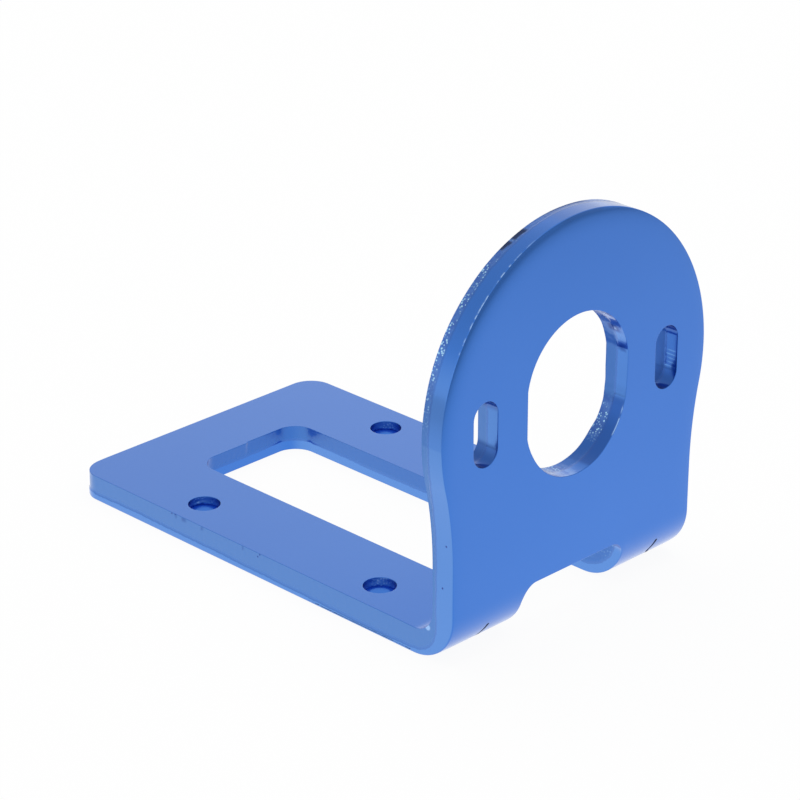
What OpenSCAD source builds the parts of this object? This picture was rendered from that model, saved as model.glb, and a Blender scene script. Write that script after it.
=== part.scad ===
// Motor mounting bracket, folded from one piece of punched sheet.
// The upright carries the motor on its round head, the base is screwed down
// through four holes. Millimetres, +Z up. The origin is the centre of the four
// base holes, on the underside, and the upright's outer face looks along +X.

/* [Sheet] */
// Thickness of the sheet, coating included
sheet_t = 2.7; // [2:0.1:3.5]
// Width of the base and of the upright's stem
plate_w = 33.3; // [31:0.1:40]
// Radius on the inside of the fold
fold_r = 2.5; // [1.5:0.1:4]
// Radius that the sheet's rim is rounded to, at both its faces
edge_r = 0.3; // [0.1:0.05:0.6]

/* [Base] */
// Length of the base, from its rear edge to the upright's outer face
base_len = 54; // [50:0.5:80]
// Radius of the base's two rear corners
base_corner_r = 2.7; // [1:0.1:5]
// Diameter of the four base holes
base_hole_d = 3.3; // [2:0.1:4.5]
// Distance between base holes along the base
hole_pitch_x = 25.2; // [18:0.1:28]
// Distance between base holes across the base
hole_pitch_y = 25.8; // [23:0.1:27]
// Distance from the upright's outer face to the front base holes
hole_setback = 13.4; // [11:0.1:16]

/* [Window] */
// Width of the window that runs from the base into the fold
window_w = 14.2; // [8:0.1:16]
// Width of the strip left behind the window
rear_strip = 7.6; // [5:0.1:12]
// Radius of the window's two rear corners
window_rear_r = 2.4; // [1:0.1:4]
// Radius of the window's two corners in the upright
window_top_r = 1.8; // [0.5:0.1:2.5]

/* [Upright] */
// How far the round head stands out past the stem at each side
head_overhang = 1.45; // [0.8:0.05:2]
// Height of the motor's axis above the underside
axis_h = 22.8; // [22:0.1:28]
// Radius of the hollow curves between stem and head
neck_r = 38.4; // [25:0.1:50]

/* [Motor seat] */
// Width of the opening for the motor's boss, between its flats
boss_w = 13.8; // [10:0.1:13.9]
// Diameter of the opening's round ends
boss_end_d = 14; // [14:0.1:16]
// Up and down travel of the boss in its opening
boss_travel = 2.4; // [1:0.1:4]
// Distance between the two screw slots
slot_pitch = 25; // [22:0.1:26]
// Width of a screw slot
slot_w = 3.2; // [2:0.1:4]
// Up and down travel of a screw in its slot
slot_travel = 3.3; // [2:0.1:5]

/* [Hidden] */
$fn = 96;
paint = [0.30, 0.49, 0.79];
// How far a cutter runs past the face that it opens
past = 1;
// How far the cutter for the head's rim runs on past each neck, in degrees
rim_lap = 1;
fold_outer_r = fold_r + sheet_t;
// Places along X, from the centre of the base holes
face_x = hole_setback + hole_pitch_x / 2;
back_x = face_x - sheet_t;
fold_x = face_x - fold_outer_r;
rear_x = face_x - base_len;
half_w = plate_w / 2;
head_r = half_w + head_overhang;
// The neck's hollow arc touches the stem's side and the head's circle
neck_y = half_w + neck_r;
neck_drop = sqrt(pow(neck_r + head_r, 2) - pow(neck_y, 2));
neck_z = axis_h - neck_drop;
neck_angle = atan2(neck_drop, neck_y);
neck_end = [head_r * cos(neck_angle), axis_h - head_r * sin(neck_angle)];

// Upright slot with round ends, whose two end centres lie travel apart
module obround(width, travel) {
    for (end = [-1, 1]) translate([0, end * travel / 2]) circle(d = width);
    square([width, travel], center = true);
}

// Rectangle from x = 0 to x = len whose two corners at the far end are round
module round_ended(len, width, r) {
    translate([0, -width / 2]) square([len - r, width]);
    translate([0, r - width / 2]) square([len, width - 2 * r]);
    for (side = [-1, 1]) translate([len - r, side * (width / 2 - r)]) circle(r = r);
}

// Places a flat outline, drawn in Y and Z, across the upright
module across_upright(x, depth) {
    translate([x, 0, 0]) rotate([90, 0, 90]) linear_extrude(depth) children();
}

// Stands what is drawn on the upright's outer face up, with its depth into the sheet
module on_outer_face() {
    translate([face_x, 0, 0]) rotate([90, 0, 90]) mirror([0, 0, 1]) children();
}

// The upright's outline above the fold: stem, hollow necks and round head
module upright_outline() {
    translate([-half_w, fold_outer_r]) square([plate_w, neck_z - fold_outer_r]);
    translate([0, axis_h]) circle(r = head_r, $fn = 180);
    for (side = [-1, 1]) mirror([side < 0 ? 1 : 0, 0]) difference() {
        polygon([[0, neck_z], [neck_y, neck_z], neck_end, [0, axis_h]]);
        translate([neck_y, neck_z]) circle(r = neck_r, $fn = 360);
    }
}

// The boss fits between two flats, and the round ends are a little wider
module boss_outline() {
    intersection() {
        obround(boss_end_d, boss_travel);
        square([boss_w, boss_end_d + boss_travel + past], center = true);
    }
}

module upright() {
    across_upright(back_x, sheet_t) upright_outline();
}

module base() {
    translate([fold_x, 0, 0]) rotate([0, 0, 180])
        linear_extrude(sheet_t) round_ended(fold_x - rear_x, plate_w, base_corner_r);
}

// Quarter turn of sheet that joins the base to the upright
module fold() {
    translate([fold_x, half_w, fold_outer_r]) rotate([90, 0, 0])
        rotate_extrude(angle = 90, start = -90)
            translate([fold_r, 0]) square([sheet_t, plate_w]);
}

// The window was punched before folding, so it runs on through the fold
module window() {
    translate([face_x, 0, -past]) rotate([0, 0, 180])
        linear_extrude(sheet_t + past + past)
            round_ended(base_len - rear_strip, window_w, window_rear_r);
    across_upright(fold_x - past, fold_outer_r + past + past) rotate(90)
        translate([-past, 0]) round_ended(fold_outer_r + past, window_w, window_top_r);
}

module base_holes() {
    for (x = [-1, 1], y = [-1, 1])
        translate([x * hole_pitch_x / 2, y * hole_pitch_y / 2, -past])
            cylinder(d = base_hole_d, h = sheet_t + past + past);
}

// Opening for the boss, with an upright slot for a motor screw at each side
module motor_seat() {
    across_upright(back_x - past, sheet_t + past + past) translate([0, axis_h]) {
        boss_outline();
        for (side = [-1, 1]) translate([side * slot_pitch / 2, 0]) obround(slot_w, slot_travel);
    }
}

// What a rounded edge takes off a corner at the origin, whose metal lies at -x, -y.
// Its first and last facets run on past the metal, so that it crosses both faces
module edge_section() {
    run = [cos(30) - 1, sin(30)] * past;
    polygon([[past, -edge_r - run.y], [-run.x, -edge_r - run.y],
        edge_r * [cos(30) - 1, sin(30) - 1], edge_r * [cos(60) - 1, sin(60) - 1],
        [-edge_r - run.y, -run.x], [-edge_r - run.y, past], [past, past]]);
}

// The same for both edges of a rim: x points out of the rim, and y runs through
// the sheet, from its outer face at 0 to its inner face
module rim_section() {
    mirror([0, 1]) edge_section();
    translate([0, sheet_t]) edge_section();
}

// Cutter for a straight rim from the origin along +X, with the metal at -Y
module straight_rim(len) {
    rotate([90, 0, 90]) linear_extrude(len) rim_section();
}

// Cutter for a rim that curves around the origin; on a hollow one the metal is outside
module curved_rim(r, from, turn, hollow = false) {
    rotate_extrude(angle = turn, start = from) translate([r, 0])
        mirror([hollow ? 1 : 0, 0]) rim_section();
}

// Rims of the base, from the middle of its rear edge to the fold, at the side of +Y
module base_rim() {
    corner_x = rear_x + base_corner_r;
    translate([corner_x, half_w]) straight_rim(fold_x - corner_x);
    translate([corner_x, half_w - base_corner_r]) curved_rim(base_corner_r, 90, 90);
    translate([rear_x, 0]) rotate(90) straight_rim(half_w - base_corner_r);
}

// Rim of the fold at the side of +Y
module fold_rim() {
    translate([fold_x, half_w, fold_outer_r]) rotate([90, 0, 0])
        rotate_extrude(angle = 90, start = -90)
            translate([fold_outer_r, 0]) rotate(90) mirror([1, 0]) rim_section();
}

// Rims of the stem and its hollow neck at the side of +Y
module stem_rim() {
    on_outer_face() {
        translate([half_w, neck_z]) rotate(-90) straight_rim(neck_z - fold_outer_r);
        translate([neck_y, neck_z]) curved_rim(neck_r, 180 - neck_angle, neck_angle, hollow = true);
    }
}

// Rim of the round head, in one turn from neck to neck
module head_rim() {
    turn = 180 + 2 * (neck_angle + rim_lap);
    on_outer_face() translate([0, axis_h]) curved_rim(head_r, 90 - turn / 2, turn);
}

module bracket() {
    color(paint) difference() {
        union() {
            base();
            fold();
            upright();
        }
        for (side = [0, 1]) mirror([0, side, 0]) {
            base_rim();
            fold_rim();
            stem_rim();
        }
        head_rim();
        window();
        base_holes();
        motor_seat();
    }
}

bracket();
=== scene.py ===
"""Looks of the motor mounting bracket.

The bracket is one piece of punched sheet, so its mesh is made the way the part is:
a flat blank with punched rims is meshed, and is then folded up. Millimetres are used
until a mesh is written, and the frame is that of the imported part: X along the base
towards the upright, Y across, Z up, the origin amid the four base holes, underneath.
"""

import math

import bpy
import numpy as np
from mathutils import Matrix, Vector
from mathutils.geometry import delaunay_2d_cdt


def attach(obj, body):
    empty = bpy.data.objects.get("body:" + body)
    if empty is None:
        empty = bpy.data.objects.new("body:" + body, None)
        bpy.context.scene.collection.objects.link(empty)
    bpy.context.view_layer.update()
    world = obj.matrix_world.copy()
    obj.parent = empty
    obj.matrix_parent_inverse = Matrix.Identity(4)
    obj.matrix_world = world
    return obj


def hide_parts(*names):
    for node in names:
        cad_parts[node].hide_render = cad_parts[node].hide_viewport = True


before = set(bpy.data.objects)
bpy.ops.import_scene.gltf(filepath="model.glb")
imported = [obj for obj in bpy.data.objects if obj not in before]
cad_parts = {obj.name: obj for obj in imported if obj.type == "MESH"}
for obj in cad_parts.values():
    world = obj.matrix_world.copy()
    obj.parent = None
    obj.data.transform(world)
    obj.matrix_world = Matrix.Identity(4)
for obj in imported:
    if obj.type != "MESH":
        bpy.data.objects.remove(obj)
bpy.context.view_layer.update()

MM = 0.001

# Sizes of the part
SHEET = 2.7
PLATE_W = 33.3
FOLD_IN_R = 2.5
FOLD_OUT_R = FOLD_IN_R + SHEET
FACE_X = 26.0
REAR_X = -28.0
CORNER_R = 2.7
HOLE_R = 1.65
HOLE_X = 12.6
HOLE_Y = 12.9
WINDOW_W = 14.2
WINDOW_REAR_X = -20.4
WINDOW_REAR_R = 2.4
WINDOW_TOP_R = 1.8
AXIS_H = 22.8
HEAD_R = 18.1
NECK_R = 38.4
BOSS_HALF_W = 6.9
BOSS_END_R = 7.0
BOSS_TRAVEL = 2.4
SLOT_Y = 12.5
SLOT_R = 1.6
SLOT_TRAVEL = 3.3

# Small marks on the finish, with the radius that each fades out over: dark spots on the
# side of the stem and of the base, a painted highlight on the inner fold and two nicks under the
# fold
DARK_SPOTS = [(25.16, -16.74, 12.69), (24.62, -16.65, 8.18), (-13.4, -16.6, 2.6),
              (-12.9, -16.6, 2.66), (-0.7, -16.6, 2.3), (-0.4, -16.6, 2.6)]
PAINTED_HIGHLIGHT_SPOTS = [(22.7, -16.65, 3.39)]
NICKS = [[(23.6, -11.45, 0.82), (24.6, -11.7, 1.65), (25.35, -11.35, 2.7)],
         [(23.9, 12.75, 1.03), (24.8, 12.05, 1.88), (25.55, 12.4, 3.1)]]
DARK_SPOT_R, PAINTED_HIGHLIGHT_R, NICK_R = 0.14, 0.40, 0.26

# Scratches in the slot at +Y: the corners of the box that holds them, and their spacing
SCRATCH_LOW, SCRATCH_HIGH = (24.4, 13.9, 20.9), (25.85, 14.3, 23.0)
SCRATCH_STEP = 0.42

# Colours of the finish, of its marks and of the light and shade painted on it
DEEP_BLUE = (0.035, 0.170, 0.610, 1)
MID_BLUE = (0.043, 0.188, 0.640, 1)
# Painted light: the paler blue that walls facing the light and the base's upper face are painted
# with
PAINTED_LIGHT_BLUE = (0.095, 0.260, 0.680, 1)
TORN_SHADE = (0.0, 0.0, 0.0, 1)
COARSE_DARK = (0.070, 0.150, 0.500, 1)
COARSE_LIGHT = (0.110, 0.245, 0.640, 1)
TEAR_BLUE = (0.045, 0.130, 0.440, 1)
# Painted shade in the holes, slots, the opening's lower arc and the window, and real stains
STAIN_AND_SHADE_BLUE = (0.003, 0.058, 0.315, 1)
# Painted glints on the coarse torn walls
PAINTED_GLINT = (0.42, 0.74, 1.0, 1)
# Painted highlight on front edges and rims
PAINTED_EDGE_HIGHLIGHT = (0.34, 0.54, 0.90, 1)
CHIP_DARK = (0.012, 0.028, 0.090, 1)
SPOT_DARK = (0.010, 0.050, 0.300, 1)
# Painted highlight on the inner fold
PAINTED_SPOT_HIGHLIGHT = (0.30, 0.52, 0.90, 1)
SCRATCH_BLUE = (0.10, 0.28, 0.68, 1)

# How metallic the finish is, its clear coat, its roughness and its grain's depth
METALLIC, COAT, COAT_ROUGHNESS = 0.95, 0.42, 0.12
FACE_ROUGHNESS, RIM_ROUGHNESS, TORN_ROUGHNESS = 0.25, 0.16, 0.16
GRAIN_DEPTH = 0.06

# The blank. A place on it is s, along the sheet, and v, across it, and depth runs from
# the outer face (underside of the base, front of the upright) to the inner one
FOLD_X = FACE_X - FOLD_OUT_R
FOLD_LEN = math.pi / 2 * (FOLD_IN_R + SHEET / 2)
FOLD_END = FOLD_X + FOLD_LEN
AXIS_S = FOLD_END + AXIS_H - FOLD_OUT_R
HALF_W = PLATE_W / 2
HALF_LENGTH = (FACE_X - REAR_X) / 2
NECK_V = HALF_W + NECK_R
NECK_DROP = math.sqrt((NECK_R + HEAD_R) ** 2 - NECK_V ** 2)
NECK_S = AXIS_S - NECK_DROP
NECK_TURN = math.degrees(math.atan2(NECK_DROP, NECK_V))

# Steps of the mesh, along the rims and over the faces
RIM_STEP = 0.19
FILL_STEP = 0.5
FOLD_ROWS = 18
# Least room between a rim's last ring and the points of the fill
CLEAR = 0.28
# Parts of a rim, from the sheet's face over the smooth land to the torn wall
FACE, LAND, TEAR, TORN = 0, 1, 2, 3


def smooth(x, low, high):
    """0 below low, 1 above high, and a soft rise between."""
    t = np.clip((np.asarray(x, float) - low) / (high - low), 0, 1)
    return t * t * (3 - 2 * t)


def within(value, low, high, soft):
    """1 from low to high, with a soft rise and fall around these."""
    return smooth(value, low - soft, low + soft) * (1 - smooth(value, high - soft, high + soft))


def wave(x, seed, lengths=(9.0, 3.1, 1.2), gains=(0.5, 0.3, 0.2)):
    """A wandering value of about -1 to 1 along x, the same at each run."""
    draw = np.random.default_rng(seed)
    total = np.zeros_like(x)
    for length, gain in zip(lengths, gains):
        knots = draw.uniform(-1, 1, 1024)
        low = np.floor(x / length).astype(int)
        t = smooth(x / length - low, 0, 1)
        total += gain * (knots[low % 1024] * (1 - t) + knots[(low + 1) % 1024] * t)
    return total


def line(a, b, step=RIM_STEP):
    """Points from a up to, but without, b."""
    a, b = np.array(a, float), np.array(b, float)
    n = max(1, round(np.linalg.norm(b - a) / step))
    return a + (b - a) * (np.arange(n) / n)[:, None]


def arc(centre, r, start, end, step=RIM_STEP, squash=1.0):
    """Points on an arc from start up to, but without, end, in degrees."""
    n = max(2, round(abs(math.radians(end - start)) * r / step))
    turn = np.radians(start + (end - start) * np.arange(n) / n)
    return np.array(centre, float) + r * np.stack([squash * np.cos(turn), np.sin(turn)], 1)


# Every outline is drawn so that the metal lies at its left

def outer_outline():
    """The bracket's own outline: base, stem, hollow necks and round head."""
    return np.concatenate([
        line((REAR_X + CORNER_R, -HALF_W), (NECK_S, -HALF_W)),
        arc((NECK_S, -NECK_V), NECK_R, 90, 90 - NECK_TURN),
        arc((AXIS_S, 0), HEAD_R, -90 - NECK_TURN, 90 + NECK_TURN),
        arc((NECK_S, NECK_V), NECK_R, NECK_TURN - 90, -90),
        line((NECK_S, HALF_W), (REAR_X + CORNER_R, HALF_W)),
        arc((REAR_X + CORNER_R, HALF_W - CORNER_R), CORNER_R, 90, 180),
        line((REAR_X, HALF_W - CORNER_R), (REAR_X, CORNER_R - HALF_W)),
        arc((REAR_X + CORNER_R, CORNER_R - HALF_W), CORNER_R, 180, 270),
    ])


def window_outline():
    """The window, whose corners in the fold are squat here and round seen from the front."""
    half, squash = WINDOW_W / 2, 0.76
    rear, top = WINDOW_REAR_X + WINDOW_REAR_R, FOLD_END - WINDOW_TOP_R * squash
    return np.concatenate([
        line((top, -half), (rear, -half)),
        arc((rear, WINDOW_REAR_R - half), WINDOW_REAR_R, 270, 180),
        line((WINDOW_REAR_X, WINDOW_REAR_R - half), (WINDOW_REAR_X, half - WINDOW_REAR_R)),
        arc((rear, half - WINDOW_REAR_R), WINDOW_REAR_R, 180, 90),
        line((rear, half), (top, half)),
        arc((top, half - WINDOW_TOP_R), WINDOW_TOP_R, 90, 0, squash=squash),
        line((FOLD_END, half - WINDOW_TOP_R), (FOLD_END, WINDOW_TOP_R - half)),
        arc((top, WINDOW_TOP_R - half), WINDOW_TOP_R, 0, -90, squash=squash),
    ])


def hole_outline(s, v):
    """A base hole around a place of the blank."""
    return arc((s, v), HOLE_R, 360, 0)


def axis_angle(loop):
    """Where a point of the blank lies around the motor's axis: 0 at +Y, 90 at the top."""
    return np.degrees(np.arctan2(loop[:, 0] - AXIS_S, loop[:, 1]))


def leftward(loop):
    """Unit vectors into the metal at each point of an outline."""
    along = np.roll(loop, -1, 0) - np.roll(loop, 1, 0)
    along /= np.linalg.norm(along, axis=1)[:, None]
    return np.stack([-along[:, 1], along[:, 0]], 1)


def boss_outline():
    """The opening, a little smaller than it should be at its lower right."""
    reach = BOSS_TRAVEL / 2
    lost = math.degrees(math.acos(BOSS_HALF_W / BOSS_END_R))
    flat = reach + BOSS_END_R * math.sin(math.radians(lost))
    loop = np.concatenate([
        arc((AXIS_S + reach, 0), BOSS_END_R, 90 - lost, lost - 90),
        line((AXIS_S + flat, -BOSS_HALF_W), (AXIS_S - flat, -BOSS_HALF_W)),
        arc((AXIS_S - reach, 0), BOSS_END_R, -90 - lost, lost - 270),
        line((AXIS_S - flat, BOSS_HALF_W), (AXIS_S + flat, BOSS_HALF_W)),
    ])
    around = axis_angle(loop)
    low = 0.12 * smooth(around, -165, -140) * (1 - smooth(around, -20, 10))
    right = 0.15 * smooth(around, -70, -50) * (1 - smooth(around, -25, -10))
    return loop - leftward(loop) * (low + right)[:, None] + (0.04, -0.02)


def slot_outline(v):
    """A motor slot, v off the middle."""
    reach = SLOT_TRAVEL / 2
    return np.concatenate([
        arc((AXIS_S + reach, v), SLOT_R, 90, -90),
        line((AXIS_S + reach, v - SLOT_R), (AXIS_S - reach, v - SLOT_R)),
        arc((AXIS_S - reach, v), SLOT_R, -90, -270),
        line((AXIS_S - reach, v + SLOT_R), (AXIS_S + reach, v + SLOT_R)),
    ])


def run_of(loop):
    """How far along its outline each point lies."""
    steps = np.linalg.norm(np.roll(loop, -1, 0) - loop, axis=1)
    return np.concatenate([[0], np.cumsum(steps)[:-1]])


class Rim:
    """One punched rim: its outline, and how the sheet tore there.

    Each setting is a number, or a function of the outline's points. outer_r and inner_r
    round the corners at the two faces. The land is the smooth part of the wall, next to
    the outer face, and land is its height. Past it the wall steps in by step, is uneven
    by rough, and leans in by lean up to the inner face. roll is how deep the outer face
    is drawn down at the rim, over roll_w from it. coarse says how mottled the torn part
    is and how many painted glints it carries.
    lips are the distances from the rounded corners at which rings lie on the two faces.
    """

    SETTINGS = ("outer_r", "inner_r", "land", "step", "lean", "rough", "roll")
    # Rings round a corner, in degrees. Past the first limit the outer corner can carry a
    # painted highlight and the inner one is no longer torn, and past the second the land starts
    TURNS = (0, 22.5, 45, 67.5, 90)
    WORN_TURN, LAND_TURN = 40, 60
    # Rings down the land and down the torn wall, as shares of their heights
    LAND_SHARES = (0.3, 0.62, 0.9)
    TORN_SHARES = (0.14, 0.28, 0.42, 0.57, 0.72, 0.87, 1.0)
    # The first ring of the land lies this far past the corner
    LAND_START = 0.1
    # The tear's line wanders and jumps by so much, and the wall steps in over its height
    TEAR_WANDER, TEAR_JUMP, TEAR_HEIGHT = 0.13, 0.04, 0.09
    LEAST_LAND, LEAST_TORN = 0.15, 0.35
    # Shares of the step at the tear's upper ring, and of the roughness at the last one
    STEP_START, ROUGH_END = 0.3, 0.3
    # How fast the drawn-down corner fades away from the rim
    ROLL_FADE = 4

    def __init__(self, name, loop, seed, lips, coarse, roll_w, **settings):
        """Works the settings out for each point of the outline."""
        self.name, self.loop, self.seed, self.lips, self.roll_w = name, loop, seed, lips, roll_w
        self.coarse = coarse(loop) if callable(coarse) else np.full(len(loop), float(coarse))
        self.inward, self.run = leftward(loop), run_of(loop)
        self.outer_r, self.inner_r, self.land, self.step, self.lean, self.rough, self.roll = (
            value(loop) if callable(value) else np.full(len(loop), float(value))
            for value in map(settings.get, self.SETTINGS))
        self.outer_reach = self.outer_r.max() + max(lips)
        self.inner_reach = (self.step + self.lean + self.inner_r).max() + max(lips)

    def rolled(self, inset, at=slice(None)):
        """How deep the outer face is drawn down at an inset from the rim."""
        left = np.exp(-self.ROLL_FADE * np.asarray(inset) / self.roll_w)
        last = math.exp(-self.ROLL_FADE)
        return self.roll[at] * np.clip((left - last) / (1 - last), 0, 1)

    def rings(self):
        """(inset, depth, zone, corner) of each ring, from the outer face to the inner one.

        zone is FACE, LAND, TEAR or TORN, and corner is 1 where the outer face turns into
        the land.
        """
        n, draw = len(self.loop), np.random.default_rng(self.seed)
        ro, ri, start = self.outer_r, self.inner_r, self.outer_r + self.roll
        for lip in self.lips:
            inset = np.full(n, self.outer_reach) if lip == max(self.lips) else ro + lip
            yield inset, self.rolled(inset), FACE, 0.0
        for turn in self.TURNS:
            inset = ro * (1 - math.sin(math.radians(turn)))
            depth = ro * (1 - math.cos(math.radians(turn))) + self.rolled(inset)
            zone = LAND if turn > self.LAND_TURN else FACE
            yield inset, depth, zone, float(turn > self.WORN_TURN)
        yield np.zeros(n), start + self.LAND_START, LAND, 0.0
        tear = self.land + self.TEAR_WANDER * wave(self.run, self.seed + 1)
        tear = tear + draw.uniform(-self.TEAR_JUMP, self.TEAR_JUMP, n)
        tear = np.clip(tear, start + self.LEAST_LAND, SHEET - ri - self.LEAST_TORN)
        for share in self.LAND_SHARES:
            yield np.zeros(n), start + (tear - start) * share, LAND, 0.0
        end, first = SHEET - ri, tear + self.TEAR_HEIGHT
        yield self.STEP_START * self.step, tear, TEAR, 0.0
        yield self.step, first, TEAR, 0.0
        for share in self.TORN_SHARES:
            rough = self.rough * draw.uniform(0, 1, n) * (self.ROUGH_END if share == 1 else 1)
            inset = self.step + self.lean * share + rough
            yield inset, first + (end - first) * share, TORN, 0.0
        for turn in self.TURNS[1:]:
            inset = self.step + self.lean + ri * (1 - math.cos(math.radians(turn)))
            zone = TORN if turn < self.WORN_TURN else FACE
            yield inset, end + ri * math.sin(math.radians(turn)), zone, 0.0
        for lip in sorted(self.lips):
            inset = self.step + self.lean + ri + lip
            if lip == max(self.lips):
                inset = np.full(n, self.inner_reach)
            yield inset, np.full(n, SHEET), FACE, 0.0


def near_side(loop):
    """1 on the rim of the base that the photograph looks at, 0 elsewhere."""
    s, v = loop.T
    return smooth(-v, 12.5, 15.5) * (1 - smooth(s, FOLD_X - 4, FOLD_X + 3))


def on_head(loop):
    """1 on the rim of the head, 0 on the base, with a soft rise up the stem."""
    return smooth(loop[:, 0], FOLD_END, FOLD_END + 8)


def roll_on_head(loop):
    """The head's rim is drawn down the most from its top to its left side."""
    around = axis_angle(loop) % 360
    return on_head(loop) * smooth(around, 50, 85) * (1 - smooth(around, 168, 200))


def head_lean(loop):
    """The rim leans in a little at its upper left and out at its left."""
    around = axis_angle(loop) % 360
    return 0.07 * within(around, 82, 118, 10) - 0.06 * within(around, 140, 165, 10)


def outer_land(loop):
    """Height of the smooth part: low on the base, nearly all of the stem, high on the head."""
    s = loop[:, 0]
    base = 0.75 - 0.4 * near_side(loop) * smooth(s, -8, 18)
    return base + 1.5 * smooth(s, FOLD_X + 1, FOLD_END) - 0.4 * smooth(s, AXIS_S - 8, AXIS_S)


def boss_lean(loop):
    """How the opening's torn wall leans, which differs around it."""
    around = axis_angle(loop)
    return -0.04 + 0.15 * within(around, -46, -22, 5) - 0.1 * within(around, -4, 34, 8) \
        + 0.05 * within(around, 60, 100, 10)


def make_rims():
    """The rims of the outline, the window, the opening, the holes and the slots."""
    wide, narrow = (0.7, 0.4, 0.18, 0.05), (0.35, 0.15, 0.05)
    outer = {
        "outer_r": lambda loop: 0.13 - 0.08 * on_head(loop),
        "inner_r": lambda loop: 0.05 - 0.02 * on_head(loop),
        "land": outer_land,
        "step": lambda loop: 0.02 * (1 - on_head(loop)) + 0.05 * near_side(loop),
        "lean": lambda loop: 0.03 * near_side(loop) + head_lean(loop),
        "rough": lambda loop: 0.02 + 0.02 * on_head(loop),
        "roll": lambda loop: 0.05 + 0.20 * roll_on_head(loop),
        "roll_w": 2.1, "coarse": lambda loop: within(axis_angle(loop), 115, 168, 12),
    }
    window = {
        "outer_r": 0.05, "inner_r": 0.04, "land": 1.0, "step": 0.03, "rough": 0.02,
        "lean": lambda loop: -0.05 - 0.15 * (loop[:, 1] < 0), "roll": 0.01, "roll_w": 0.7,
        "coarse": lambda loop: 0.25 * smooth(loop[:, 0], FOLD_X, FOLD_END),
    }
    boss = {
        "outer_r": 0.05, "inner_r": 0.04, "land": 1.3, "step": 0.02, "rough": 0.04,
        "lean": boss_lean, "roll": 0.0, "roll_w": 0.5,
        "coarse": lambda loop: within(axis_angle(loop), -56, -24, 5)
        + 0.6 * within(axis_angle(loop), -112, -88, 6),
    }
    hole = {
        "outer_r": 0.08, "inner_r": 0.05, "land": 1.7, "step": 0.02, "lean": -0.03, "rough": 0.03,
        "roll": 0.02, "roll_w": 0.4, "coarse": 0.2,
    }
    slot = {
        "outer_r": 0.05, "inner_r": 0.04, "land": 1.4, "step": 0.02, "rough": 0.02,
        "lean": lambda loop: -0.17 + 0.28 * (loop[:, 1] < 0), "roll": 0.0, "roll_w": 0.4,
        "coarse": 0.0,
    }
    rims = [Rim("outer", outer_outline(), 11, wide, **outer),
            Rim("window", window_outline(), 21, wide, **window),
            Rim("boss", boss_outline(), 31, wide, **boss)]
    for k, (x, y) in enumerate([(-1, -1), (1, -1), (1, 1), (-1, 1)]):
        rims.append(Rim("hole", hole_outline(x * HOLE_X, y * HOLE_Y), 41 + 10 * k, narrow, **hole))
    for k, side in enumerate([-1, 1]):
        rims.append(Rim("slot", slot_outline(side * SLOT_Y), 91 + 10 * k, narrow, **slot))
    return rims


def painted_wall_light(rim, flat):
    """Painted light: walls that face sideways are painted paler where light falls on them, on the
    base, the stem, the window and the slot at -Y, and less on the head's rim and on parts of the
    opening.
    """
    side = np.abs(rim.inward[:, 1])
    low = smooth(side, 0.5, 0.95)
    if rim.name == "outer":
        return np.where(flat[:, 0] > AXIS_S, 0.65 * smooth(side, 0.86, 0.96), low)
    if rim.name == "boss":
        return 0.55 * low * smooth(axis_angle(flat), -26, -20) + \
            0.5 * within(axis_angle(flat), 24, 33, 1)
    if rim.name == "slot":
        return low * 0.85 * (flat[:, 1] < 0)
    return low * (rim.name == "window") * (1 - 0.6 * smooth(flat[:, 2], 1.0, 1.3))


def painted_top_sheen(flat):
    """Painted sheen: the base's upper face is painted a little paler than the rest of the sheet's
    faces, most towards its rear.
    """
    return 0.12 * (1 - smooth(flat[:, 0], FOLD_X - 12, FOLD_X)) * (flat[:, 2] > SHEET / 2)


def stains_and_painted_shade(rim, flat):
    """Real stains and painted shade: painted shade darkens the holes, the slots' ends, the slot at
    +Y, the opening's lower arc and the window's walls, and real marks darken two patches in the
    opening and scuffs on the base's near side.
    """
    around, depth = axis_angle(flat), flat[:, 2]
    # painted shade inside the holes
    if rim.name == "hole":
        return 0.13 + 0.06 * smooth(depth, 1.7, 2.3)
    # painted shade at the slots' ends and over the slot at +Y
    if rim.name == "slot":
        beyond = np.abs(flat[:, 0] - AXIS_S) - SLOT_TRAVEL / 2
        return np.maximum(0.65 * smooth(beyond, -0.1, 0.5), 0.15 * (flat[:, 1] > 0))
    if rim.name == "boss":
        patch = within(around, 34, 40, 1.0) * within(depth, 0.5, 1.9, 0.2)
        hatch = within(around, 17.5, 23.5, 0.8) * within(depth, 0.4, 1.3, 0.1)
        hatch *= 0.6 + 0.4 * np.sin(around * 9 + depth * 20)
        # painted shade on the opening's lower right arc
        low = 0.6 * within(around, -78, -21, 2) * (1 - 0.5 * smooth(depth, 1.3, 1.5))
        return np.maximum(low, 0.9 * np.maximum(patch, hatch))
    if rim.name == "outer":
        scuffs = within(flat[:, 0], -14, 3, 1) * smooth(depth, 2.1, 2.45)
        return 0.5 * near_side(rim.loop) * scuffs * \
            smooth(wave(rim.run, 77, (0.9, 0.4, 0.3)), 0.3, 0.5)
    # painted shade on the window's straight walls
    if rim.name == "window":
        straight = smooth(np.abs(rim.inward).max(1), 0.93, 0.99)
        return straight * (0.06 + 0.06 * (rim.inward[:, 0] < -0.7)) * smooth(depth, 1.0, 1.2)
    return np.zeros(len(flat))


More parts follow.
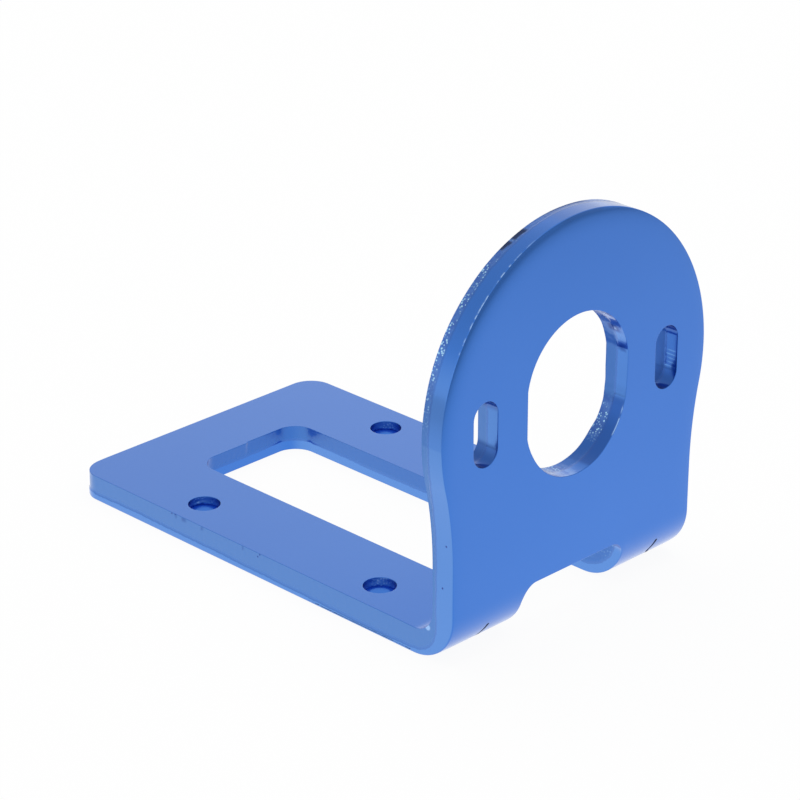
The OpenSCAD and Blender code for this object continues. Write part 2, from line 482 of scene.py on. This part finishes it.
def chipped(flat):
    """1 where the finish has chipped off the inner edge of the head's upper left rim.

    Two chips are deep, and a third, nearer the head's top, is faint.
    """
    around, depth = axis_angle(flat), flat[:, 2]
    rim = np.hypot(flat[:, 0] - AXIS_S, flat[:, 1]) > HEAD_R - 0.25
    ragged = depth + 0.15 * wave(np.abs(around) * 3, 7)
    first = smooth(around, 105.8, 107) * (1 - smooth(around, 111.6, 112.4))
    second = smooth(around, 112.5, 113.3) * (1 - smooth(around, 116.6, 117.4))
    deep = np.maximum(first * smooth(ragged, 1.9, 2.15), second * smooth(ragged, 2.1, 2.3))
    faint = within(around, 80, 98, 3) * (0.2 + 0.4 * smooth(ragged, 2.35, 2.5))
    return rim * np.maximum(deep, faint)


def painted_highlight(rim, flat, zone, corner):
    """Painted highlights: bright lines on some front corners and on the head's upper rim, a fleck
    in the opening and a patch low in it.
    """
    around = axis_angle(flat)
    if rim.name == "outer":
        return np.maximum(corner * within(around, 113, 151, 9),
                          0.2 * (zone > FACE) * within(around, 66, 79, 4))
    if rim.name == "boss":
        chip = within(around, 36.2, 38, 0.5) * within(flat[:, 2], 0.95, 1.25, 0.1)
        low = 0.3 * (zone == LAND) * within(around, -112, -88, 5)
        return np.maximum(corner * within(around, -50, -27, 3), np.maximum(chip, low))
    return np.zeros(len(flat))


def nearest(points, loop):
    """Each point's distance from an outline, and which of its points is the nearest."""
    best, which, batch = np.empty(len(points)), np.empty(len(points), int), 2000
    for k in range(0, len(points), batch):
        part = slice(k, k + batch)
        gap = ((points[part, None, :] - loop[None, :, :]) ** 2).sum(2)
        best[part], which[part] = np.sqrt(gap.min(1)), gap.argmin(1)
    return best, which


def inside(points, loop):
    """Which points lie inside a closed outline."""
    found = np.zeros(len(points), bool)
    x, y = points.T
    for a, b in zip(loop, np.roll(loop, -1, 0)):
        if a[1] == b[1]:
            continue
        crosses = (a[1] > y) != (b[1] > y)
        found ^= crosses & (x < (b[0] - a[0]) * (y - a[1]) / (b[1] - a[1]) + a[0])
    return found


def grid_points():
    """Even rows and columns over the blank, with closer rows in the fold."""
    base = np.linspace(REAR_X, FOLD_X, round((FOLD_X - REAR_X) / FILL_STEP))
    fold = np.linspace(FOLD_X, FOLD_END, FOLD_ROWS + 1)[1:]
    top = AXIS_S + HEAD_R
    up = np.linspace(FOLD_END, top, round((top - FOLD_END) / FILL_STEP))[1:]
    rows = np.concatenate([base, fold, up])
    columns = np.linspace(-HEAD_R, HEAD_R, round(2 * HEAD_R / FILL_STEP))
    return np.stack(np.meshgrid(rows, columns, indexing="ij"), 2).reshape(-1, 2)


def fill_face(rims, outer):
    """Points and triangles of one face between its rims, whose last rings come first."""
    reach = [rim.outer_reach if outer else rim.inner_reach for rim in rims]
    borders = [rim.loop + rim.inward * r for rim, r in zip(rims, reach)]
    grid = grid_points()
    keep = np.ones(len(grid), bool)
    for k, rim in enumerate(rims):
        held = inside(grid, rim.loop)
        keep &= held if k == 0 else ~held
    grid = grid[keep]
    keep = np.ones(len(grid), bool)
    for rim, r in zip(rims, reach):
        keep &= nearest(grid, rim.loop)[0] > r + CLEAR
    grid = grid[keep]
    points = np.concatenate(borders + [grid])
    edges, first = [], 0
    for border in borders:
        n = len(border)
        edges += [(first + i, first + (i + 1) % n) for i in range(n)]
        first += n
    found = delaunay_2d_cdt([Vector(p) for p in points], edges, [], 0, 1e-7)
    out_verts, out_faces, origin = found[0], found[2], found[3]
    if len(out_verts) != len(points):
        raise ValueError("the face's borders cross: %d %d" % (len(out_verts), len(points)))
    source = np.array([o[0] for o in origin])
    tris = source[np.array(out_faces)]
    corner = points[tris]
    middle = corner.mean(1)
    keep = inside(middle, borders[0])
    for border in borders[1:]:
        keep &= ~inside(middle, border)
    tris, corner = tris[keep], corner[keep]
    a, b = corner[:, 1] - corner[:, 0], corner[:, 2] - corner[:, 0]
    turned = a[:, 0] * b[:, 1] - a[:, 1] * b[:, 0] < 0
    if outer:
        turned = ~turned
    tris[turned] = tris[turned][:, ::-1]
    return grid, tris


def fold_up(s, v, depth):
    """Places of the folded sheet's points, in the part's frame."""
    turn = np.clip((s - FOLD_X) / FOLD_LEN, 0, 1) * math.pi / 2
    r = FOLD_OUT_R - depth
    x = FOLD_X + np.minimum(s - FOLD_X, 0) + r * np.sin(turn)
    z = FOLD_OUT_R - r * np.cos(turn) + np.maximum(s - FOLD_END, 0)
    return np.stack([x, v, z], 1)


MARKS = ("rim", "tear", "torn", "painted_light", "coarse", "painted_highlight", "chip", "stain_and_shade")


def rim_marks(rim, flat, zone, corner):
    """The marks of one ring of a rim, one column for each."""
    n = len(flat)
    return np.column_stack([
        np.full(n, float(zone > FACE)), np.full(n, float(zone == TEAR)),
        np.full(n, float(zone == TORN)), painted_top_sheen(flat) if zone == FACE else painted_wall_light(rim, flat),
        rim.coarse, painted_highlight(rim, flat, zone, corner), chipped(flat) * (rim.name == "outer"),
        stains_and_painted_shade(rim, flat) * (zone > FACE)])


def face_marks(flat):
    """The marks of points amid the sheet's faces, which have none but their painted sheen."""
    marks = np.zeros((len(flat), len(MARKS)))
    # painted sheen on the base's upper face
    marks[:, MARKS.index("painted_light")] = painted_top_sheen(flat)
    return marks


def bracket_mesh():
    """Points, faces and the points' marks of the folded sheet.

    The marks say of each point whether it lies on a rim, where the sheet began to tear
    and past it, how much painted light, painted sheen and painted highlight it has, how
    coarse and chipped it is, and how much it is stained or darkened by painted shade.
    """
    rims = make_rims()
    places, marks, faces, first = [], [], [], 0
    last = {True: [], False: []}
    for rim in rims:
        n, rings = len(rim.loop), list(rim.rings())
        for inset, depth, zone, corner in rings:
            places.append(np.column_stack([rim.loop + rim.inward * inset[:, None], depth]))
            marks.append(rim_marks(rim, places[-1], zone, corner))
        i = np.arange(n)
        j = (i + 1) % n
        for k in range(len(rings) - 1):
            a, b = first + k * n, first + (k + 1) * n
            faces.append(np.stack([a + i, a + j, b + j, b + i], 1))
        last[True].append(first + i)
        last[False].append(first + (len(rings) - 1) * n + i)
        first += n * len(rings)
    for outer in (True, False):
        grid, tris = fill_face(rims, outer)
        index = np.concatenate(last[outer] + [first + np.arange(len(grid))])
        away, which = nearest(grid, rims[0].loop)
        depth = rims[0].rolled(away, which) if outer else np.full(len(grid), SHEET)
        places.append(np.column_stack([grid, depth]))
        marks.append(face_marks(places[-1]))
        faces.append(index[tris])
        first += len(grid)
    return fold_up(*np.concatenate(places).T), faces, np.concatenate(marks)


def new_mesh(name, points, faces):
    """A mesh object, from points in mm and a list of arrays of faces."""
    mesh = bpy.data.meshes.new(name)
    mesh.from_pydata((points * MM).tolist(), [], [f for part in faces for f in part.tolist()])
    mesh.update()
    mesh.shade_smooth()
    made = bpy.data.objects.new(name, mesh)
    bpy.context.scene.collection.objects.link(made)
    return made


def mark(obj, name, values):
    """Stores a value of each point on the mesh, for its material to read."""
    obj.data.attributes.new(name, "FLOAT", "POINT").data.foreach_set(
        "value", np.asarray(values, np.float32))


# Materials

def node(tree, kind, inputs=(), **settings):
    """A new node, whose inputs are each linked to a socket or set to a value."""
    made = tree.nodes.new(kind)
    for key, value in settings.items():
        setattr(made, key, value)
    for key, value in dict(inputs).items():
        if isinstance(value, bpy.types.NodeSocket):
            tree.links.new(value, made.inputs[key])
        else:
            made.inputs[key].default_value = value
    return made


def maths(tree, operation, a, b=0.0):
    """The result of one operation on two values."""
    return node(tree, "ShaderNodeMath", {0: a, 1: b}, operation=operation).outputs[0]


def ranged(tree, value, low, high, start=0.0, end=1.0, kind="SMOOTHSTEP"):
    """Maps value from low..high to start..end."""
    return node(tree, "ShaderNodeMapRange", {"Value": value, "From Min": low, "From Max": high,
                                             "To Min": start, "To Max": end},
                interpolation_type=kind).outputs[0]


def mixed(tree, share, a, b):
    """Colour a, with a share of colour b."""
    return node(tree, "ShaderNodeMix", {"Factor": share, "A": a, "B": b},
                data_type="RGBA").outputs["Result"]


def noise(tree, place, scale, detail=2.0):
    """A cloudy value around a half, finer with scale."""
    return node(tree, "ShaderNodeTexNoise",
                {"Vector": place, "Scale": scale, "Detail": detail}).outputs["Fac"]


def specks(tree, place, scale, size, share):
    """1 in small round specks, in a given share of the cells that they are strewn over."""
    cells = node(tree, "ShaderNodeTexVoronoi", {"Vector": place, "Scale": scale})
    small = ranged(tree, cells.outputs["Distance"], size, 0.6 * size)
    pick = node(tree, "ShaderNodeSeparateColor", {"Color": cells.outputs["Color"]}).outputs["Red"]
    return maths(tree, "MULTIPLY", small, maths(tree, "GREATER_THAN", pick, 1 - share))


def faded(tree, gap, reach):
    """1 where a gap is under half of reach, in mm, which fades out up to reach."""
    return ranged(tree, gap, 0.5 * reach * MM, reach * MM, 1.0, 0.0)


def spots(tree, place, points, reach):
    """1 near each of the points, in mm."""
    total = 0.0
    for point in points:
        gap = node(tree, "ShaderNodeVectorMath", {0: place, 1: Vector(point) * MM},
                   operation="DISTANCE").outputs["Value"]
        total = maths(tree, "MAXIMUM", total, faded(tree, gap, reach))
    return total


def stroke_gap(tree, place, start, along):
    """The distance from a straight stroke."""
    away = node(tree, "ShaderNodeVectorMath", {0: place, 1: start},
                operation="SUBTRACT").outputs[0]
    share = node(tree, "ShaderNodeVectorMath", {0: away, 1: along / along.length_squared},
                 operation="DOT_PRODUCT").outputs["Value"]
    held = ranged(tree, share, 0.0, 1.0, kind="LINEAR")
    foot = node(tree, "ShaderNodeVectorMath", {0: along, "Scale": held},
                operation="SCALE").outputs[0]
    return node(tree, "ShaderNodeVectorMath", {0: away, 1: foot},
                operation="DISTANCE").outputs["Value"]


def strokes(tree, place, paths, reach):
    """1 along paths of straight strokes between points, in mm."""
    total = 0.0
    for path in paths:
        for a, b in zip(path, path[1:]):
            gap = stroke_gap(tree, place, Vector(a) * MM, (Vector(b) - Vector(a)) * MM)
            total = maths(tree, "MAXIMUM", total, faded(tree, gap, reach))
    return total


def scratches(tree, place):
    """1 in short even scratches on the outer side wall of the slot at +Y."""
    parts = node(tree, "ShaderNodeSeparateXYZ", {"Vector": place}).outputs
    held = 1.0
    for axis, low, high in zip("XYZ", SCRATCH_LOW, SCRATCH_HIGH):
        middle, half = (low + high) / 2 * MM, (high - low) / 2 * MM
        away = maths(tree, "ABSOLUTE", maths(tree, "SUBTRACT", parts[axis], middle))
        held = maths(tree, "MULTIPLY", held, ranged(tree, away, 0.8 * half, half, 1.0, 0.0))
    swing = maths(tree, "SINE", maths(tree, "MULTIPLY", parts["Z"],
                                      2 * math.pi / (SCRATCH_STEP * MM)))
    broken = ranged(tree, noise(tree, place, 900.0), 0.38, 0.56)
    return maths(tree, "MULTIPLY", maths(tree, "MULTIPLY", held, broken),
                 ranged(tree, swing, 0.2, 0.8))


def painted_glints(tree, place, rough_part):
    """Painted glints: bright specks in clusters, where the torn wall is coarse."""
    clusters = ranged(tree, noise(tree, place, 420.0), 0.36, 0.56)
    strewn = maths(tree, "MULTIPLY", specks(tree, place, 3900.0, 0.46, 0.75), clusters)
    return maths(tree, "MULTIPLY", strewn, rough_part)


def coat_tone(tree, place, marks, rough_part, dull):
    """The finish's colour, from its plain blue to its wear, with painted light, painted shade,
    painted glints and painted highlights mixed in.
    """
    tone = mixed(tree, noise(tree, place, 60.0), DEEP_BLUE, MID_BLUE)
    # Painted light and painted sheen: walls facing the light and the base's upper face are painted
    # paler
    tone = mixed(tree, marks["painted_light"], tone, PAINTED_LIGHT_BLUE)
    tone = mixed(tree, maths(tree, "MULTIPLY", marks["torn"], 0.15), tone, TORN_SHADE)
    mottled = mixed(tree, ranged(tree, noise(tree, place, 1500.0), 0.35, 0.65),
                    COARSE_DARK, COARSE_LIGHT)
    tone = mixed(tree, maths(tree, "MULTIPLY", rough_part, 0.6), tone, mottled)
    tone = mixed(tree, maths(tree, "MULTIPLY", marks["tear"], 0.5), tone, TEAR_BLUE)
    # real stains and painted shade in the recesses
    tone = mixed(tree, marks["stain_and_shade"], tone, STAIN_AND_SHADE_BLUE)
    # painted glints on the coarse torn walls
    tone = mixed(tree, painted_glints(tree, place, rough_part), tone, PAINTED_GLINT)
    broken = ranged(tree, noise(tree, place, 1400.0), 0.40, 0.60)
    # painted highlights on front edges and rims
    tone = mixed(tree, maths(tree, "MULTIPLY", marks["painted_highlight"], broken), tone, PAINTED_EDGE_HIGHLIGHT)
    tone = mixed(tree, dull, tone, CHIP_DARK)
    tone = mixed(tree, spots(tree, place, DARK_SPOTS, DARK_SPOT_R), tone, SPOT_DARK)
    # a painted highlight on the inner fold
    tone = mixed(tree, spots(tree, place, PAINTED_HIGHLIGHT_SPOTS, PAINTED_HIGHLIGHT_R), tone, PAINTED_SPOT_HIGHLIGHT)
    return mixed(tree, scratches(tree, place), tone, SCRATCH_BLUE)


def coat_roughness(tree, marks, dull):
    """Rims are smoother than faces, torn walls rougher, and chips and nicks are dull."""
    plain = ranged(tree, marks["rim"], 0.0, 1.0, FACE_ROUGHNESS, RIM_ROUGHNESS)
    rough = maths(tree, "ADD", plain, maths(tree, "MULTIPLY", marks["torn"], TORN_ROUGHNESS))
    return maths(tree, "MAXIMUM", rough, dull)


def coat_grain(tree, place, rough_part):
    """A faint grain all over, which is strong where the torn wall is coarse."""
    height = maths(tree, "ADD", maths(tree, "MULTIPLY", noise(tree, place, 2600.0), 0.1),
                   maths(tree, "MULTIPLY", noise(tree, place, 4200.0, 3.0), rough_part))
    return node(tree, "ShaderNodeBump", {"Height": height, "Strength": 0.5,
                                         "Distance": GRAIN_DEPTH * MM}).outputs[0]


def blue_coat():
    """Blue metallic finish, with painted light that makes the punched side walls paler, and uneven
    where they tore.
    """
    mat = bpy.data.materials.new("blue_coat")
    mat.use_nodes = True
    tree = mat.node_tree
    tree.nodes.clear()
    place = node(tree, "ShaderNodeTexCoord").outputs["Object"]
    marks = {name: node(tree, "ShaderNodeAttribute", attribute_name=name).outputs["Fac"]
             for name in MARKS}
    rough_part = maths(tree, "MULTIPLY", marks["torn"], marks["coarse"])
    dull = maths(tree, "MAXIMUM", marks["chip"], strokes(tree, place, NICKS, NICK_R))
    shader = node(tree, "ShaderNodeBsdfPrincipled", {
        "Base Color": coat_tone(tree, place, marks, rough_part, dull),
        "Metallic": ranged(tree, dull, 0.0, 1.0, METALLIC, 0.0),
        "Roughness": coat_roughness(tree, marks, dull),
        "Coat Weight": ranged(tree, dull, 0.0, 1.0, COAT, 0.0),
        "Coat Roughness": COAT_ROUGHNESS,
        "Normal": coat_grain(tree, place, rough_part)})
    node(tree, "ShaderNodeOutputMaterial", {"Surface": shader.outputs[0]})
    return mat


def make_bracket():
    """The dressed bracket, in place of its CAD node."""
    points, faces, marks = bracket_mesh()
    made = new_mesh("punched_bracket", points, faces)
    for name, values in zip(MARKS, marks.T):
        mark(made, name, values)
    made.data.materials.append(blue_coat())
    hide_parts("bracket")
    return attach(made, "root")


# Stage, lights and camera

# The floor is a square of white just under the base, so that the two share no plane
FLOOR_HALF_M, FLOOR_Z = 3.0, -0.02
# How much of the floor glows by itself; the rest takes the lamp's light and the shadow
FLOOR_GLOW = 0.94
# Strength of the white light that the world and the floor cast
PLAIN_LIGHT = 0.8
# Dim parts of the studio, which show in the bracket's upper left rims and in its front:
# the way to each, from where to where it deepens as a cosine, and by how much
DIM_PARTS = [((-0.645, -0.12, 0.74), 0.58, 1.0, 0.28), ((0.9, 0.3, 0.2), 0.6, 0.97, 0.5)]
# The camera of the photograph, found from the outline of the real part in it
CAMERA_TURN, CAMERA_RISE, CAMERA_ROLL = 45.035, 24.227, -0.073
CAMERA_PLACE = (204.91, -202.21, 143.58)
SENSOR_MM, LENS_MM = 36.0, 142.78


def light_for(tree, plain, glossy):
    """Strength of a white light: 1 to the camera, glossy as metal mirrors it, else plain."""
    path = node(tree, "ShaderNodeLightPath")
    white = maths(tree, "MAXIMUM", path.outputs["Is Camera Ray"],
                  path.outputs["Is Transmission Ray"])
    mirrored = maths(tree, "MULTIPLY", path.outputs["Is Glossy Ray"], glossy)
    other = maths(tree, "SUBTRACT", 1.0,
                  maths(tree, "MAXIMUM", white, path.outputs["Is Glossy Ray"]))
    lit = maths(tree, "MULTIPLY", other, plain)
    return maths(tree, "ADD", white, maths(tree, "ADD", mirrored, lit))


def floor_glow(tree):
    """How bright the floor looks in metal: less with the distance from the bracket."""
    place = node(tree, "ShaderNodeTexCoord").outputs["Object"]
    parts = node(tree, "ShaderNodeSeparateXYZ", {"Vector": place}).outputs
    beyond_x = maths(tree, "MAXIMUM", 0.0, maths(
        tree, "SUBTRACT", maths(tree, "ABSOLUTE", parts["X"]), HALF_LENGTH * MM))
    beyond_y = maths(tree, "MAXIMUM", 0.0, maths(
        tree, "SUBTRACT", maths(tree, "ABSOLUTE", parts["Y"]), HALF_W * MM))
    away = maths(tree, "SQRT", maths(tree, "ADD", maths(tree, "POWER", beyond_x, 2.0),
                                     maths(tree, "POWER", beyond_y, 2.0)))
    near = ranged(tree, away, 0.0, 0.12, 1.10, 0.82, kind="LINEAR")
    side = ranged(tree, parts["Y"], -0.08, 0.08, -0.08, 0.08, kind="LINEAR")
    ahead = ranged(tree, parts["X"], 0.07, 0.30, 0.0, -0.5, kind="LINEAR")
    return maths(tree, "ADD", maths(tree, "ADD", near, side), ahead)


def make_floor():
    """A plain white floor that keeps the bracket's shadow."""
    half = FLOOR_HALF_M
    mesh = bpy.data.meshes.new("floor")
    mesh.from_pydata([(-half, -half, 0), (half, -half, 0), (half, half, 0), (-half, half, 0)],
                     [], [(0, 1, 2, 3)])
    floor = bpy.data.objects.new("floor", mesh)
    bpy.context.scene.collection.objects.link(floor)
    floor.location.z = FLOOR_Z * MM
    mat = bpy.data.materials.new("floor_white")
    mat.use_nodes = True
    tree = mat.node_tree
    tree.nodes.clear()
    plain = node(tree, "ShaderNodeBsdfDiffuse", {"Color": (0.86, 0.86, 0.86, 1)})
    glow = node(tree, "ShaderNodeEmission",
                {"Color": (1, 1, 1, 1), "Strength": light_for(tree, PLAIN_LIGHT, floor_glow(tree))})
    both = node(tree, "ShaderNodeMixShader",
                {0: FLOOR_GLOW, 1: plain.outputs[0], 2: glow.outputs[0]})
    node(tree, "ShaderNodeOutputMaterial", {"Surface": both.outputs[0]})
    mesh.materials.append(mat)


def toward(tree, sight, aim, low, high, gain):
    """Rises from 0 to gain as a line of sight turns towards aim."""
    dot = node(tree, "ShaderNodeVectorMath", {0: sight, 1: Vector(aim).normalized()},
               operation="DOT_PRODUCT").outputs["Value"]
    return ranged(tree, dot, low, high, 0.0, gain)


def make_world():
    """A white studio with two dim parts, which only the bracket's finish mirrors."""
    world = bpy.data.worlds.new("studio")
    world.use_nodes = True
    tree = world.node_tree
    tree.nodes.clear()
    sight = node(tree, "ShaderNodeTexCoord").outputs["Generated"]
    glow = 1.0
    for part in DIM_PARTS:
        glow = maths(tree, "SUBTRACT", glow, toward(tree, sight, *part))
    light = node(tree, "ShaderNodeBackground",
                 {"Color": (1, 1, 1, 1), "Strength": light_for(tree, PLAIN_LIGHT, glow)})
    node(tree, "ShaderNodeOutputWorld", {"Surface": light.outputs[0]})
    bpy.context.scene.world = world


def softbox(name, place, target, size, power):
    """A square lamp at a place in metres, which no mirror shows."""
    lamp = bpy.data.lights.new(name, "AREA")
    lamp.shape, lamp.size, lamp.energy = "SQUARE", size, power
    made = bpy.data.objects.new(name, lamp)
    made.location = place
    made.rotation_euler = (Vector(target) - Vector(place)).to_track_quat("-Z", "Y").to_euler()
    made.visible_glossy = False
    bpy.context.scene.collection.objects.link(made)


def make_camera():
    """The camera that saw the photograph, at the same angle and distance."""
    turn, rise, roll = map(math.radians, (CAMERA_TURN, CAMERA_RISE, CAMERA_ROLL))
    back = Vector((math.sin(turn) * math.cos(rise), -math.cos(turn) * math.cos(rise),
                   math.sin(rise)))
    right = Vector((math.cos(turn), math.sin(turn), 0))
    lens = bpy.data.cameras.new("camera")
    lens.sensor_width, lens.lens = SENSOR_MM, LENS_MM
    lens.clip_start, lens.clip_end = 0.01, 20.0
    made = bpy.data.objects.new("camera", lens)
    turned = Matrix((right, back.cross(right), back)).transposed().to_4x4()
    made.matrix_world = Matrix.Translation(Vector(CAMERA_PLACE) * MM) \
        @ turned @ Matrix.Rotation(roll, 4, "Z")
    bpy.context.scene.collection.objects.link(made)
    bpy.context.scene.camera = made


make_bracket()
make_floor()
make_world()
softbox("softbox_top", (-0.05, 0.1, 0.9), (0, 0, 0), size=0.8, power=3.0)
make_camera()
bpy.context.scene.view_settings.view_transform = "Standard"
